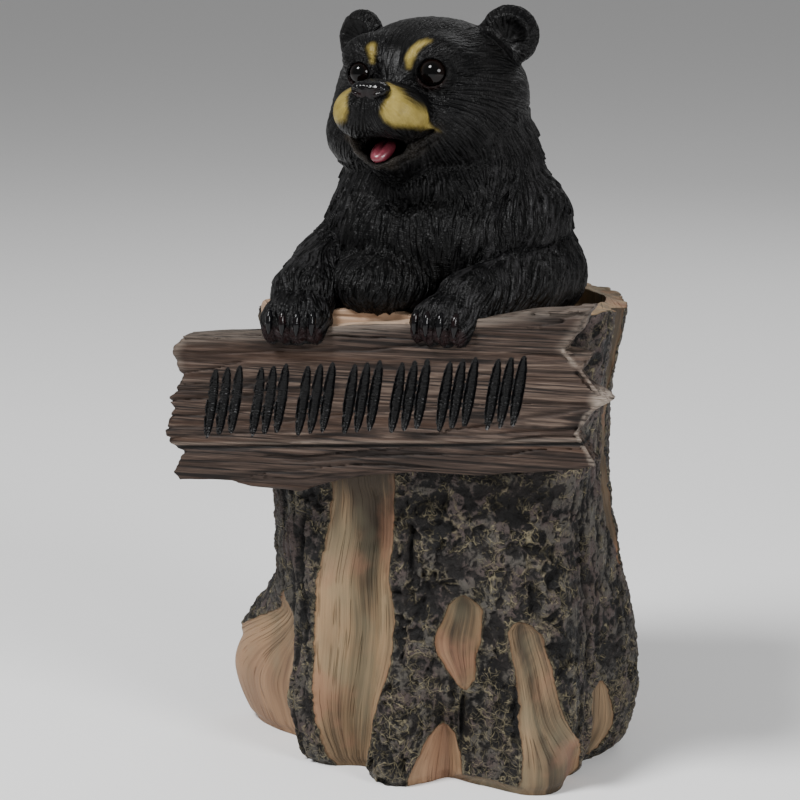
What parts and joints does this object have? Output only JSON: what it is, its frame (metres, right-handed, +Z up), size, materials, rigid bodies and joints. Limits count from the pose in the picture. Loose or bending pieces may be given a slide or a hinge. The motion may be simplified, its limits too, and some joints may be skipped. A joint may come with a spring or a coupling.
{
  "type": "bear welcome sign figurine",
  "caption": "Cast resin bear cub standing in a hollow tree stump with both paws over a rustic plank sign; stands on its flat underside as a garden or porch ornament.",
  "frame": {"origin": "on the ground under the stump's axis, in the flat underside", "axes": "+Z up, the sign and the cub face -Y, +X towards the cub's left paw"},
  "size_m": [0.1978, 0.1709, 0.339],
  "materials": {
    "painted_resin": "hand-painted cast resin: near-black fur, dark bark with tan bare wood, weathered brown plank, gloss black eyes, nose, claws and strokes"
  },
  "bodies": {
    "root": {"bear_sign_figurine": "painted_resin"}
  },
  "joints": []
}
